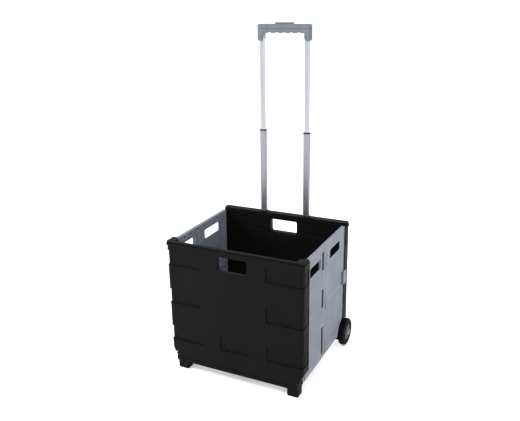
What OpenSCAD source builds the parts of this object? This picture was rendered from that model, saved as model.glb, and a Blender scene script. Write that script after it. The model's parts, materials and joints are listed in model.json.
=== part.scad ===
/* [Crate] */
// Width across the front and back panels
crate_w = 420; // [360:5:520]
// Depth from the front face to the rear face
crate_d = 368; // [320:4:460]
// Height of the rims above the ground
crate_h = 404; // [350:2:500]
// Depth of the front panel's cheeks
front_shell = 42; // [38:0.5:48]
// Distance from the front face to the side panels' front hinge
front_hinge_in = 21.5; // [20:0.5:24]
// Distance from the rear face to the side panels' back hinge
back_shell = 37.5; // [37.5:0.5:60]
// Thickness of the moulded walls
wall = 2.2; // [1.8:0.2:3]
// Radius of the upright corners
corner_r = 10; // [6:1:14]
// Height of the panels' lower edge
panel_z = 26; // [20:1:32]
// How far the ridge along the lower edge stands out
ridge_out = 1; // [0.5:0.5:2]
// Height of the top of the floor ledge
ledge_z = 45.2; // [42:0.4:50]

/* [Rims] */
// Height of a rim
rim_h = 12; // [8:1:18]
// Depth of the front rim
front_rim_d = 13.5; // [8:0.5:13.5]
// Radius of the round lobes at the ends of the front rim
lobe_r = 20; // [14:1:21]
// Depth of the back rim
back_rim_d = 28; // [26:1:29]
// How far a rim stands out sideways
rim_over = 2; // [1:0.5:5]
// Step along the top of a rim
rim_step = 2; // [1:0.5:4]

/* [Blocks] */
// Depth of the sunk blocks
block_sink = 2.4; // [1.5:0.1:3]
// Depth of the second step inside a block
block_step = 0.9; // [0.4:0.1:1.2]
// Height of a block
block_h = 45; // [36:1:50]
// Distance from the ground to the lowest row
block_z = 94.5; // [80:0.5:110]
// Distance from one row to the next
block_pitch = 119; // [100:1:150]
// Width of the middle block
block_w = 90; // [60:2:110]
// Distance from the middle to a side block
block_x = 101; // [80:1:130]

/* [Hand holes] */
// Width of the hand holes in the front and back panels
hole_w = 90; // [80:2:110]
// Height of the hand holes in the front and back panels
hole_h = 42; // [30:1:46]
// Length of a hand hole in a front half
front_hole_l = 84; // [60:2:84]
// Length of a hand hole in a rear half
rear_hole_l = 86; // [60:2:90]
// Height of a hand hole in a side half
side_hole_h = 29; // [20:1:32]

/* [Side panels] */
// Thickness of a side half
side_t = 10; // [8:0.5:11]
// Thickness of its outer skin
side_skin = 2.6; // [2.4:0.2:4]
// Height of its lower edge above the ledge
side_lift = 0.8; // [0.6:0.1:3]
// Gap from its top to the top of the rims
side_drop = 5; // [3:1:10]
// Height of its top band
band_h = 22; // [18:1:28]

/* [Hinges] */
// Diameter of the hinge pins
pin_d = 3; // [2.5:0.5:3.5]
// Outside diameter of a hinge knuckle
knuckle_d = 6; // [5.5:0.5:6]
// Length of a hinge knuckle
knuckle_l = 18; // [12:1:22]
// Clearance between parts that move
gap = 0.3; // [0.25:0.05:0.5]
// Radial clearance of a pin in its hole
pin_fit = 0.05; // [0.03:0.01:0.1]

/* [Floor] */
// Thickness of the floor panel
floor_t = 5; // [4:0.5:6]
// Length of the floor panel
floor_l = 300; // [250:2:340]

/* [Wheels] */
// Radius of a tyre
wheel_r = 42.5; // [36:0.5:48]
// Width of a tyre
wheel_w = 19; // [14:1:24]
// Radius of the hub
hub_r = 22; // [20:1:28]
// Diameter of the stub axles
axle_d = 8; // [6:1:10]
// How far a wheel stands out behind the crate
wheel_back = 15; // [8:0.5:20]
// Clearance between a tyre and its housing
tyre_gap = 2; // [1.5:0.5:4]

/* [Handle] */
// Distance between the middles of the handle tubes
tube_x = 144; // [120:2:180]
// Width of the middle tubes
mid_w = 20; // [18:0.5:24]
// Depth of the middle tubes
mid_d = 12; // [11:0.5:13]
// Wall of the handle tubes
tube_wall = 1; // [0.8:0.1:1.2]
// Width of the upper tubes
top_w = 15.4; // [13:0.2:15.6]
// Depth of the upper tubes
top_d = 8; // [7:0.2:8.4]
// Length of the middle tubes that shows when the handle is out
mid_out = 259; // [200:1:280]
// Length of the upper tubes that shows when the handle is out
top_out = 268; // [200:1:280]
// Length of each stage that stays out when it is pushed in
stage_left = 12; // [12:1:30]
// Length of the middle tube left inside its guide
stage_overlap = 62; // [62:1:80]
// Length of the upper tube left inside the middle tube
top_overlap = 40; // [30:1:40]
// Length of the lock block under the upper tube
lock_l = 24; // [20:1:24]
// Width of the handle
grip_w = 170; // [164:1:210]
// Depth of the handle
grip_d = 22; // [20:1:32]
// Height of the handle's legs
leg_h = 22; // [18:1:35]
// Height of the handle's bar
bar_h = 26; // [22:1:32]
// How far the release button is pressed
button_travel = 4; // [2:0.5:5]

/* [Feet] */
// Width of a foot
foot_w = 34; // [24:1:40]
// Depth of a foot
foot_d = 31.5; // [24:0.5:34]
// Distance from the middle to the middle of a foot
foot_x = 177; // [140:0.5:180]
// Thickness of a foot pad
pad_t = 3; // [2:0.5:5]

/* [Hidden] */
$fn = 64;
eps = 0.01;

// Overall places: the origin is under the middle of the whole footprint
total_d = ridge_out + crate_d + wheel_back;
front_y = -total_d / 2 + ridge_out;
rear_y = front_y + crate_d;
half_w = crate_w / 2;
rim_z = crate_h - rim_h;
black = "#202022";
grey = "#9aa0a9";
steel = "#c4c6ca";

// Side panels
side_x = half_w - wall - gap;
knuckle_r = knuckle_d / 2;
hinge_x = side_x - knuckle_r - gap / 2;
hinge_f = front_y + front_hinge_in;
hinge_b = rear_y - back_shell;
cheek_y = front_y + front_shell;
foot_y = front_y + 4 + foot_d / 2;
hinge_m = (hinge_f + hinge_b) / 2;
half_l = (hinge_b - hinge_f) / 2;
side_z0 = ledge_z + side_lift;
side_z1 = crate_h - side_drop;
side_in = side_x - side_t;
pin_hole = pin_d / 2 + pin_fit;
swing_r = knuckle_r + gap;
corner_back = front_hinge_in - swing_r - gap;

// Rows of blocks
rows = [block_z, block_z + block_pitch, block_z + 2 * block_pitch];
hole_z = rows[2] + 9;
hole_top = hole_z + hole_h;

// Floor
floor_y = hinge_b + side_t - knuckle_r + gap * 2 + knuckle_r + 1;
floor_z = ledge_z + gap + floor_t / 2;
floor_half = side_in - 1.5;
back_in = floor_y + knuckle_r + 0.8;

// Wheels
axle_y = rear_y + wheel_back - wheel_r;
wheel_x0 = half_w - 5.5;
housing_r = wheel_r + tyre_gap + 2;
housing_x = wheel_x0 - 5.5;
arch_r = housing_r + 6;
boss_x = side_x - (arch_r + hinge_b - axle_y) + 4;
boss_r = axle_d / 2 + 5;

// Handle
tube_h = tube_x / 2;
guide_wall = 1.2;
slide_fit = 0.3;
guide_w = mid_w + 2 * (slide_fit + guide_wall);
guide_d = mid_d + 2 * (slide_fit + guide_wall);
tube_y = rear_y - guide_d / 2 - 2;
mid_top = crate_h + mid_out;
mid_bottom = crate_h - stage_overlap;
top_top = mid_top + top_out;
top_bottom = mid_top - top_overlap;
lock_z = top_bottom - lock_l + 6;
swing_pin = pin_d / 2 + gap;
grip_z0 = top_top;
grip_z1 = top_top + leg_h + bar_h;
split_z = grip_z0 + leg_h + 13;
guide_z0 = mid_bottom - (mid_out - stage_left) - 8;
grip_y = tube_y;

// Knuckle heights
front_knuckles = [side_z0 + 36, side_z0 + 110, side_z0 + 240];
back_knuckles = [side_z0 + 60, side_z0 + 110, side_z0 + 240];
mid_knuckles = [side_z0 + 8, side_z0 + 150, side_z0 + 284];

// ---- Helpers ----

// Rectangle with round corners, centred
module rrect(w, h, r) {
    square([w - 2 * r, h], center = true);
    square([w, h - 2 * r], center = true);
    for (sx = [-1, 1], sy = [-1, 1])
        translate([sx * (w / 2 - r), sy * (h / 2 - r)]) circle(r);
}

// Box from two opposite corners
module box(a, b) {
    translate(a) cube(b - a);
}

module mirror_x() {
    children();
    mirror([1, 0, 0]) children();
}

// Upright cylinder at a place in plan
module post(x, y, z0, z1, r) {
    translate([x, y, z0]) cylinder(h = z1 - z0, r = r);
}

// Cylinder lying along X
module rod_x(x0, x1, y, z, r) {
    translate([x0, y, z]) rotate([0, 90, 0]) cylinder(h = x1 - x0, r = r);
}

// Plan of a panel's outer skin: a tray with round front corners and open behind
module tray_plan(w, d, r) {
    translate([-w / 2 + r, 0]) square([w - 2 * r, d]);
    translate([-w / 2, r]) square([w, d - r]);
    for (s = [-1, 1]) translate([s * (w / 2 - r), r]) circle(r);
}

// Upright window with round corners through a wall that faces Y
module window_y(w, z0, z1, y0, y1, r) {
    translate([0, y1, (z0 + z1) / 2]) rotate([90, 0, 0])
        linear_extrude(y1 - y0) rrect(w, z1 - z0, r);
}

// Knuckle with its pin hole still to be cut
module knuckle(x, y, z) {
    post(x, y, z, z + knuckle_l, knuckle_r);
}

// ---- Front panel ----

// One column of sunk blocks: side columns carry on round the corner
module side_block(z, sink, grow, back) {
    x0 = block_x - grow;
    z0 = z - grow;
    z1 = z + block_h + grow;
    translate([0, front_y - eps, z0]) linear_extrude(z1 - z0) difference() {
        translate([x0, 0]) square([half_w - x0 + 1, back]);
        translate([0, sink]) tray_plan(crate_w - 2 * sink, back + 20, corner_r - 1);
    }
}

module front_shell_body() {
    inner = wall + 0.3;
    difference() {
        translate([0, front_y, panel_z]) linear_extrude(rim_z + 1 - panel_z)
            tray_plan(crate_w, front_shell, corner_r);
        translate([0, front_y + inner, ledge_z]) linear_extrude(crate_h)
            tray_plan(crate_w - 2 * wall, front_shell + 1, corner_r - 2);
        box([-half_w + 20, front_y + inner, panel_z - 1], [half_w - 20, cheek_y + 1, ledge_z - wall]);
    }
    // Backing of the sunk blocks
    for (z = rows) mirror_x()
        box([block_x - 2, front_y + wall, z - 2], [half_w - corner_r, front_y + inner + block_sink, z + block_h + 2]);
    for (z = [rows[0], rows[1]])
        box([-block_w / 2 - 2, front_y + wall, z - 2], [block_w / 2 + 2, front_y + inner + block_sink, z + block_h + 2]);
    // Corner walls behind the blocks that run round the corner
    for (z = rows) mirror_x() translate([0, front_y, z - 2]) linear_extrude(block_h + 4) difference() {
        translate([half_w - corner_r - 1, block_sink]) square([corner_r + 1 - wall / 2, corner_back - block_sink]);
        translate([0, inner + block_sink]) tray_plan(crate_w - 2 * (wall + block_sink), 60, corner_r - 3);
    }
    // Frame of the hand hole
    box([-hole_w / 2 - 4, front_y + wall, hole_z - 4], [hole_w / 2 + 4, front_y + 9, hole_top + 4]);
    // Stiffening ribs behind the face
    for (x = [-75, 75]) box([x - 1, front_y + wall, ledge_z - 1], [x + 1, front_y + 10, rim_z + 1]);
    for (z = [rows[0] + block_h + 30, rows[1] + block_h + 30])
        box([-half_w + wall, front_y + wall, z], [half_w - wall, front_y + 8, z + 2]);
}

// Round lobe that caps the top of a side panel's front hinge
module rim_lobe() {
    for (step = [0, 1]) intersection() {
        post(hinge_x, hinge_f, rim_z, rim_z + rim_h / 2 * (1 + step), lobe_r - step * rim_step);
        translate([0, front_y + front_rim_d + lobe_r - step * rim_step, rim_z]) linear_extrude(rim_h)
            rrect(crate_w + 2 * (rim_over - step * rim_step), 2 * (front_rim_d + lobe_r - 2 * step * rim_step), 8);
    }
}

module front_panel() color(black) difference() {
    union() {
        front_shell_body();
        // Rim with a step along it
        translate([0, front_y + front_rim_d / 2, rim_z]) linear_extrude(rim_h / 2)
            rrect(crate_w + 2 * rim_over, front_rim_d, front_rim_d / 2 - 0.1);
        translate([0, front_y + front_rim_d / 2, rim_z]) linear_extrude(rim_h)
            rrect(crate_w + 2 * rim_over - 2 * rim_step, front_rim_d - 2 * rim_step, front_rim_d / 2 - rim_step - 0.1);
        mirror_x() rim_lobe();
        // Ridge along the lower edge
        box([-half_w + 16, front_y - ridge_out, panel_z + 8], [half_w - 16, front_y + 1, panel_z + 11]);
        // Tongue that carries the floor
        box([-45, front_y + 3, ledge_z - 7], [45, cheek_y + 9.5, ledge_z]);
        // Feet
        mirror_x() translate([foot_x, foot_y, pad_t])
            linear_extrude(ledge_z - pad_t) rrect(foot_w, foot_d, 4);
        // Hinge knuckles
        for (z = front_knuckles) mirror_x() {
            knuckle(hinge_x, hinge_f, z);
            box([hinge_x, hinge_f - knuckle_r, z], [half_w - wall / 2, hinge_f, z + knuckle_l]);
        }
    }
    // Sunk blocks
    for (z = rows) mirror_x() side_block(z, block_sink, 0, corner_back - 2);
    for (z = [rows[0], rows[1]])
        box([-block_w / 2, front_y - 1, z], [block_w / 2, front_y + (z == rows[0] ? block_sink : 0.5), z + block_h]);
    // Second step inside the blocks
    for (z = rows) mirror_x()
        box([block_x + 12, front_y - 1, z + 6], [half_w - corner_r - 8, front_y + block_sink + block_step, z + block_h / 2]);
    box([-block_w / 2 + 12, front_y - 1, rows[0] + 6], [block_w / 2 - 6, front_y + block_sink + block_step, rows[0] + block_h / 2]);
    // Pockets in the cheeks
    for (z = rows) mirror_x()
        box([half_w - 0.6 * wall, front_y + corner_r + 4, z], [half_w + 1, cheek_y - 4, z + block_h]);
    window_y(hole_w, hole_z, hole_top, front_y - 2, front_y + 12, 5);
    // Latch window and screw holes along the lower edge
    box([-9, front_y - 2, panel_z + 14], [9, front_y + 2, panel_z + 20]);
    mirror_x() translate([half_w - 15, front_y - 2, panel_z + 27]) rotate([-90, 0, 0]) cylinder(h = 6, r = 2.5);
    // Lower corners drawn in to the feet
    mirror_x() translate([0, cheek_y + 2, 0]) rotate([90, 0, 0]) linear_extrude(front_shell + 4)
        polygon([[foot_x + foot_w / 2, -1], [half_w + 5, -1], [half_w + 5, panel_z + 55],
            [half_w, panel_z + 47], [foot_x + foot_w / 2, panel_z + 21]]);
    // Pin holes
    for (z = front_knuckles) mirror_x() post(hinge_x, hinge_f, z - 1, z + knuckle_l + 1, pin_hole);
}

module foot_pad() {
    translate([foot_x, foot_y, 0]) linear_extrude(pad_t) rrect(foot_w - 2, foot_d - 2, 3);
}

// ---- Back panel ----

module back_shell_body() {
    depth = rear_y - hinge_b;
    // Outer walls and the inner face
    difference() {
        translate([0, rear_y, panel_z + 20]) mirror([0, 1, 0]) linear_extrude(rim_z + 1 - panel_z - 20)
            tray_plan(crate_w, depth, corner_r);
        translate([0, 0, panel_z]) box([-half_w + wall, hinge_b - 1, 0], [half_w - wall, back_in, crate_h]);
        box([-half_w + wall, back_in + wall, panel_z], [half_w - wall, rear_y + 1, rim_z - 3]);
    }
    // Backing of the sunk blocks
    for (z = rows) mirror_x()
        box([block_x - 2, back_in, z - 2], [half_w - wall, back_in + wall + 2, z + block_h + 2]);
    box([-block_w / 2 - 2, back_in, rows[1] - 2], [block_w / 2 + 2, back_in + wall + 2, rows[1] + block_h + 2]);
    // Channels that hold the guide tubes
    mirror_x() box([tube_h - guide_w / 2 - 3, back_in, guide_z0 - 6], [tube_h + guide_w / 2 + 3, rear_y, rim_z]);
    // Cross ribs behind the inner face
    for (z = [guide_z0 + 60, rows[1] - 12, rows[2] - 12])
        box([-half_w + wall / 2, back_in, z], [half_w - wall / 2, rear_y - 4, z + wall]);
    for (x = [-140, -36, 36, 140]) box([x - 1, back_in, panel_z + 20], [x + 1, rear_y - 4, rim_z]);
    box([-hole_w / 2 - 4, back_in, hole_z - 4], [hole_w / 2 + 4, rear_y - 4, hole_top + 4]);
}

module wheel_housing() {
    // Arch over the wheel, its inner wall and the axle boss
    intersection() {
        rod_x(housing_x, half_w, axle_y, wheel_r, housing_r);
        box([housing_x, hinge_b - 60, wheel_r - boss_r], [half_w, rear_y, crate_h]);
    }
    rod_x(boss_x, housing_x + 1, axle_y, wheel_r, boss_r);
    box([boss_x, axle_y, wheel_r - boss_r], [housing_x + 1, back_in + wall, wheel_r + boss_r]);
    box([boss_x, back_in, wheel_r - boss_r], [housing_x + 1, back_in + wall, wheel_r + 30]);
}

module back_panel() color(black) difference() {
    union() {
        difference() {
            union() {
                back_shell_body();
                mirror_x() wheel_housing();
            }
            mirror_x() rod_x(housing_x + 2.5, half_w + 20, axle_y, wheel_r, wheel_r + tyre_gap);
        }
        // Rim with a step along it
        translate([0, rear_y - back_rim_d / 2, rim_z]) linear_extrude(rim_h / 2)
            rrect(crate_w + 2 * rim_over, back_rim_d, corner_r);
        translate([0, rear_y - back_rim_d / 2, rim_z]) linear_extrude(rim_h)
            rrect(crate_w + 2 * rim_over - 2 * rim_step, back_rim_d - 2 * rim_step, corner_r - rim_step);
        // Hinge knuckles of the side panels
        for (z = back_knuckles) mirror_x() {
            knuckle(hinge_x, hinge_b, z);
            box([hinge_x, hinge_b, z], [half_w - wall / 2, hinge_b + knuckle_r, z + knuckle_l]);
        }
        // Hinge knuckles of the floor
        for (x = [-130, -10, 110]) {
            rod_x(x, x + 20, floor_y, floor_z, knuckle_r);
            box([x, floor_y, floor_z - knuckle_r], [x + 20, back_in + 1, floor_z + knuckle_r]);
        }
    }
    // Pockets for the guide tubes, open through the rim and below
    mirror_x() translate([tube_h, tube_y, guide_z0]) linear_extrude(crate_h)
        rrect(guide_w + 2 * pin_fit, guide_d + 2 * pin_fit, 3);
    mirror_x() translate([tube_h, tube_y, crate_h - 4]) linear_extrude(10)
        rrect(guide_w + 4, guide_d - 0.4, 3);
    // Sunk blocks on the inner face
    for (z = rows) mirror_x() box([block_x, back_in - 1, z], [half_w - 14, back_in + 2, z + block_h]);
    box([-block_w / 2, back_in - 1, rows[1]], [block_w / 2, back_in + 2, rows[1] + block_h]);
    window_y(hole_w, hole_z, hole_top, back_in - 2, rear_y + 2, 5);
    // Pin holes
    for (z = back_knuckles) mirror_x() post(hinge_x, hinge_b, z - 1, z + knuckle_l + 1, pin_hole);
    rod_x(-140, 140, floor_y, floor_z, pin_hole);
    mirror_x() rod_x(boss_x + 3, half_w, axle_y, wheel_r, axle_d / 2);
    // Screw holes through the rear of the tube channels
    for (z = [guide_z0 + 20, rim_z - 30]) mirror_x()
        translate([tube_h, rear_y - 4, z]) rotate([-90, 0, 0]) cylinder(h = 6, r = 2);
    // Notches in the side walls at the rows
    for (z = [rows[1], rows[2]]) mirror_x()
        box([half_w - wall - 1, hinge_b - 1, z + 4], [half_w + 1, hinge_b + 9, z + block_h - 20]);
}

// ---- Side panels, drawn for the right-hand side ----

hole_z0 = side_z1 - band_h - 8 - side_hole_h;
latch_z = rows[1];
latch_h = 44;

// Plate of a side half from y0 to y1; hole_y is the start and the length of its hand hole
module half_plate(y0, y1, face_y0, hole_y) {
    lower = side_z0 + 14;
    middle = side_z0 + 172;
    upper = hole_z0 + side_hole_h + 4;
    hole_y1 = hole_y[0] + hole_y[1];
    difference() {
        box([side_in, y0, side_z0], [side_x, y1, side_z1]);
        // Fields sunk into both faces
        for (f = [[lower, middle - 3], [middle + 3, upper]]) {
            box([side_in - 1, y0 + 9, f[0]], [side_x - side_skin, y1 - 16, f[1]]);
            box([side_x - 0.8, face_y0, f[0]], [side_x + 1, y1 - 14, min(f[1], hole_z0 - 8)]);
        }
        // Hand hole
        translate([side_in - 1, (hole_y[0] + hole_y1) / 2, hole_z0 + side_hole_h / 2]) rotate([90, 0, 90])
            linear_extrude(side_t + 2) rrect(hole_y[1], side_hole_h, 5);
        // Square pockets along the top band
        for (i = [0:3]) {
            a = y0 + 18 + i * (y1 - y0 - 44) / 3;
            box([side_in - 1, a, side_z1 - 15], [side_in + 6, a + 8, side_z1 - 7]);
        }
        // Small lug hole in the bottom band
        translate([side_in - 1, (y0 + y1) / 2, side_z0 + 8]) rotate([0, 90, 0]) cylinder(h = side_t + 2, r = 2.6);
        // Step along the bottom band
        box([side_x - 1.5, y0 - 1, side_z0 - 1], [side_x + 1, y1 + 1, side_z0 + 4]);
    }
}

// Clears the swing of knuckles that belong to the other part
module clear_knuckles(x, y, list, first) {
    for (z = list) post(x, y, z + first - gap, z + first + knuckle_l + gap, swing_r);
}

// The part's own knuckles, starting a distance above each listed height
module own_knuckles(x, y, list, first) {
    for (z = list) knuckle(x, y, z + first);
}

module own_bores(x, y, list, first) {
    for (z = list) post(x, y, z + first - gap / 2, z + first + knuckle_l + gap / 2, pin_hole);
}

// Upright slots beside the middle hinge: heights above the lower edge
slots = [[16, 104], [165, 224], [281, 336]];
slot_y = [hinge_m - 34, hinge_m - 17];

module side_front() {
    above = knuckle_l + gap;
    difference() {
        union() {
            half_plate(hinge_f + gap, hinge_m - gap, cheek_y + 9, [hinge_m - 40 - front_hole_l, front_hole_l]);
            // Walls round the slots
            for (z = slots)
                box([side_in + 1, slot_y[0] - 3, side_z0 + z[0] - 3], [side_x, slot_y[1] + 3, side_z0 + z[1] + 3]);
        }
        for (z = slots)
            box([side_in + 2.6, slot_y[0], side_z0 + z[0]], [side_x + 1, slot_y[1], side_z0 + z[1]]);
        // Column of pockets beside the middle hinge
        for (i = [0:8]) box([side_in - 1, hinge_m - 13, side_z0 + 30 + i * 34], [side_in + 4, hinge_m - 6, side_z0 + 42 + i * 34]);
        post(hinge_x, hinge_f, side_z0 - 1, side_z1 + 1, swing_pin);
        post(side_x, hinge_m, side_z0 - 1, side_z1 + 1, swing_pin);
        clear_knuckles(hinge_x, hinge_f, front_knuckles, 0);
        clear_knuckles(side_x, hinge_m, mid_knuckles, 0);
        // Room under the round lobe of the rim
        post(hinge_x, hinge_f, rim_z - 2 * gap, crate_h, lobe_r + 2 * gap);
    }
    difference() {
        union() {
            own_knuckles(hinge_x, hinge_f, front_knuckles, above);
            own_knuckles(side_x, hinge_m, mid_knuckles, above);
        }
        own_bores(hinge_x, hinge_f, front_knuckles, above);
        own_bores(side_x, hinge_m, mid_knuckles, above);
    }
}

module side_rear() {
    above = knuckle_l + gap;
    difference() {
        union() {
            difference() {
                half_plate(hinge_m + gap, hinge_b - gap, hinge_m + 12, [hinge_m + 29, rear_hole_l]);
                rod_x(side_in - 2, half_w + 5, axle_y, wheel_r, arch_r);
            }
            // Seat behind the latch
            box([side_in, hinge_b - 28, latch_z - 3], [side_x, hinge_b - gap, latch_z + latch_h + 3]);
            // Flange round the wheel arch
            intersection() {
                difference() {
                    rod_x(side_in, side_x, axle_y, wheel_r, arch_r + 4);
                    rod_x(side_in - 1, side_x + 1, axle_y, wheel_r, arch_r);
                }
                box([side_in, hinge_m + 10, side_z0], [side_x, hinge_b - gap, side_z1]);
            }
        }
        post(hinge_x, hinge_b, side_z0 - 1, side_z1 + 1, swing_pin);
        post(side_x, hinge_m, side_z0 - 1, side_z1 + 1, swing_pin);
        clear_knuckles(hinge_x, hinge_b, back_knuckles, 0);
        clear_knuckles(side_x, hinge_m, mid_knuckles, above);
        box([side_x - 5, hinge_b - 24, latch_z], [side_x + 4, hinge_b + 1, latch_z + latch_h]);
    }
    difference() {
        union() {
            own_knuckles(hinge_x, hinge_b, back_knuckles, above);
            own_knuckles(side_x, hinge_m, mid_knuckles, 0);
        }
        own_bores(hinge_x, hinge_b, back_knuckles, above);
        own_bores(side_x, hinge_m, mid_knuckles, 0);
    }
}

module side_latch() {
    y1 = hinge_b - gap;
    nose_x = half_w + gap;
    difference() {
        union() {
            box([side_x - 5 + gap, y1 - 10, latch_z + gap], [nose_x + 2.7, y1, latch_z + latch_h - gap]);
            box([nose_x, y1 - 1, latch_z + gap], [nose_x + 2.7, hinge_b + 10, latch_z + latch_h - gap]);
        }
        post(hinge_x, hinge_b, latch_z - 1, latch_z + latch_h + 1, swing_pin);
        // Finger grooves
        for (i = [0:3])
            box([nose_x + 2, y1 - 8 + i * 5, latch_z + 6], [nose_x + 4, y1 - 6.5 + i * 5, latch_z + latch_h - 6]);
    }
}

module hinge_pin(x, y, list) {
    post(x, y, list[0], list[len(list) - 1] + 2 * knuckle_l + gap, pin_d / 2);
}

// ---- Floor ----

module floor_panel() color(black) difference() {
    union() {
        box([-floor_half, floor_y - floor_t / 2, floor_z], [floor_half, floor_y + floor_t / 2, floor_z + floor_l]);
        for (x = [-130, -10, 110]) {
            rod_x(x + 20 + gap, x + 38, floor_y, floor_z, knuckle_r);
        }
    }
    for (x = [-130, -10, 110]) {
        box([x - gap, floor_y - 5, floor_z - 5], [x + 20 + gap, floor_y + 5, floor_z + knuckle_r + 0.6]);
    }
    rod_x(-140, 150, floor_y, floor_z, pin_hole);
    // Corners cleared round the axle bosses
    mirror_x() box([boss_x - 2, floor_y - 5, floor_z - 5], [half_w, floor_y + 5, floor_z + boss_r + 8]);
    // Finger notch, so that the hand hole stays clear when the floor is up
    box([-hole_w / 2 - 8, floor_y - 5, hole_z - 3], [hole_w / 2 + 8, floor_y + 5, crate_h]);
    // Sunk blocks on the underside
    for (z = [rows[0], rows[1]]) {
        mirror_x() box([block_x, floor_y - floor_t, z], [floor_half - 14, floor_y - floor_t / 2 + 1.2, z + block_h]);
        box([-block_w / 2, floor_y - floor_t, z], [block_w / 2, floor_y - floor_t / 2 + 1.2, z + 1.25 * block_h]);
    }
}

// ---- Wheels, drawn for the right-hand side ----

module tyre() {
    crown = 4;
    translate([wheel_x0, axle_y, wheel_r]) rotate([0, 90, 0]) rotate_extrude() difference() {
        union() {
            translate([hub_r, 0]) square([wheel_r - hub_r - crown, wheel_w]);
            translate([wheel_r - crown - 1, crown]) square([crown + 1, wheel_w - 2 * crown]);
            for (z = [crown, wheel_w - crown]) translate([wheel_r - crown, z]) circle(crown);
        }
        translate([wheel_r - 0.9, wheel_w / 2 - 1]) square([2, 2]);
        translate([hub_r + 4, wheel_w - 1]) square([wheel_r - hub_r - 11, 2]);
    }
}

module hub() {
    bore = axle_d / 2 + 3;
    translate([wheel_x0, axle_y, wheel_r]) rotate([0, 90, 0]) difference() {
        union() {
            translate([0, 0, 1]) cylinder(h = wheel_w - 3, r = hub_r);
            cylinder(h = wheel_w - 1, r = bore + 4);
        }
        translate([0, 0, -1]) cylinder(h = wheel_w + 2, r = bore);
        for (a = [0:72:359]) rotate([0, 0, a]) translate([bore + 11, 0, wheel_w - 8]) cylinder(h = 9, r = 5);
        translate([0, 0, wheel_w - 4]) difference() {
            cylinder(h = 5, r = hub_r - 2);
            translate([0, 0, -1]) cylinder(h = 7, r = bore + 4);
        }
    }
}

module wheel_bush() {
    translate([wheel_x0, axle_y, wheel_r]) rotate([0, 90, 0]) difference() {
        cylinder(h = wheel_w - 1, r = axle_d / 2 + 3);
        translate([0, 0, -1]) cylinder(h = wheel_w + 2, r = axle_d / 2 + pin_fit);
    }
}

module axle() {
    rod_x(boss_x + 3, wheel_x0 + wheel_w + 2.5, axle_y, wheel_r, axle_d / 2);
}

module axle_clip() {
    translate([wheel_x0 + wheel_w, axle_y, wheel_r]) rotate([0, 90, 0]) difference() {
        cylinder(h = 1.5, r = axle_d / 2 + 3);
        translate([0, 0, -1]) cylinder(h = 4, r = axle_d / 2);
    }
}

module hub_cap() {
    // Dished cap that snaps over the axle end
    translate([wheel_x0 + wheel_w - 1, axle_y, wheel_r]) rotate([0, 90, 0]) difference() {
        union() {
            cylinder(h = 4, r = axle_d / 2 + 7);
            translate([0, 0, 4]) cylinder(h = 1.2, r = axle_d / 2 + 5.5);
        }
        translate([0, 0, -1]) cylinder(h = 5, r = axle_d / 2 + 4.5);
    }
}

// ---- Handle ----

module tube(w, d, t, z0, z1) {
    translate([tube_h, tube_y, z0]) linear_extrude(z1 - z0) difference() {
        rrect(w, d, 3);
        rrect(w - 2 * t, d - 2 * t, 2);
    }
}

module guide_tube() {
    tube(guide_w, guide_d, guide_wall, guide_z0, crate_h - 4);
}

module guide_collar() {
    translate([tube_h, tube_y, crate_h - 4]) linear_extrude(5.5) difference() {
        rrect(guide_w + 4, guide_d - 0.4, 3);
        rrect(mid_w + 2 * slide_fit, mid_d + 2 * slide_fit, 3);
    }
}

module guide_screws() color(steel) mirror_x() for (z = [guide_z0 + 20, rim_z - 30])
    translate([tube_h, 0, z]) {
        translate([0, tube_y + guide_d / 2, 0]) rotate([-90, 0, 0]) cylinder(h = rear_y - tube_y - guide_d / 2, r = 2);
        translate([0, rear_y, 0]) rotate([-90, 0, 0]) cylinder(h = 2, r = 3.5);
    }

module middle_tube() {
    difference() {
        tube(mid_w, mid_d, tube_wall, mid_bottom, mid_top);
        // Catch holes on the outer side
        for (z = [mid_top - 9, mid_top - 21, mid_top - 40])
            translate([tube_h + mid_w / 2 - 2, tube_y, z]) rotate([0, 90, 0]) cylinder(h = 4, r = 2.4);
    }
}

module middle_bush() {
    // Foot of the middle tube, runs in the guide tube
    translate([tube_h, tube_y, mid_bottom - 8]) difference() {
        linear_extrude(8) rrect(mid_w + 2 * slide_fit - 0.2, mid_d + 2 * slide_fit - 0.2, 2.5);
        translate([0, 0, -1]) linear_extrude(10) rrect(mid_w - 6, mid_d - 5, 2);
    }
}

module middle_collar() {
    translate([tube_h, tube_y, mid_top]) linear_extrude(4) difference() {
        rrect(mid_w + 1.6, mid_d + 1.6, 3.5);
        rrect(top_w + 0.4, top_d + 0.4, 3);
    }
}

module upper_tube() {
    tube(top_w, top_d, tube_wall, top_bottom, top_top + leg_h - 4);
}

module upper_bush() {
    // Lock block under the upper tube, runs in the middle tube
    inner_w = mid_w - 2 * tube_wall;
    inner_d = mid_d - 2 * tube_wall;
    difference() {
        translate([tube_h, tube_y, top_bottom - lock_l]) linear_extrude(lock_l) rrect(inner_w - 0.2, inner_d - 0.2, 2);
        translate([tube_h, tube_y, top_bottom - 12]) linear_extrude(20) square([7, 4], center = true);
        translate([tube_h, tube_y, lock_z]) rotate([0, 90, 0]) cylinder(h = 20, r = 2);
    }
}

module lock_pin() {
    translate([tube_h, tube_y, lock_z]) rotate([0, 90, 0])
        cylinder(h = mid_w / 2 - tube_wall - 0.15, r = 2 - pin_fit);
}

bar_w = grip_w;
leg_w = 20;
button_w = 58;
button_d = 15;

module handle_outline(d, r) {
    // Front view of the grip: a bar on two legs
    translate([0, grip_z1 - bar_h / 2]) rrect(bar_w, bar_h, r);
    for (s = [-1, 1]) translate([s * (bar_w / 2 - leg_w / 2), grip_z0 + (leg_h + bar_h) / 2])
        rrect(leg_w, leg_h + bar_h, r);
}

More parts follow.
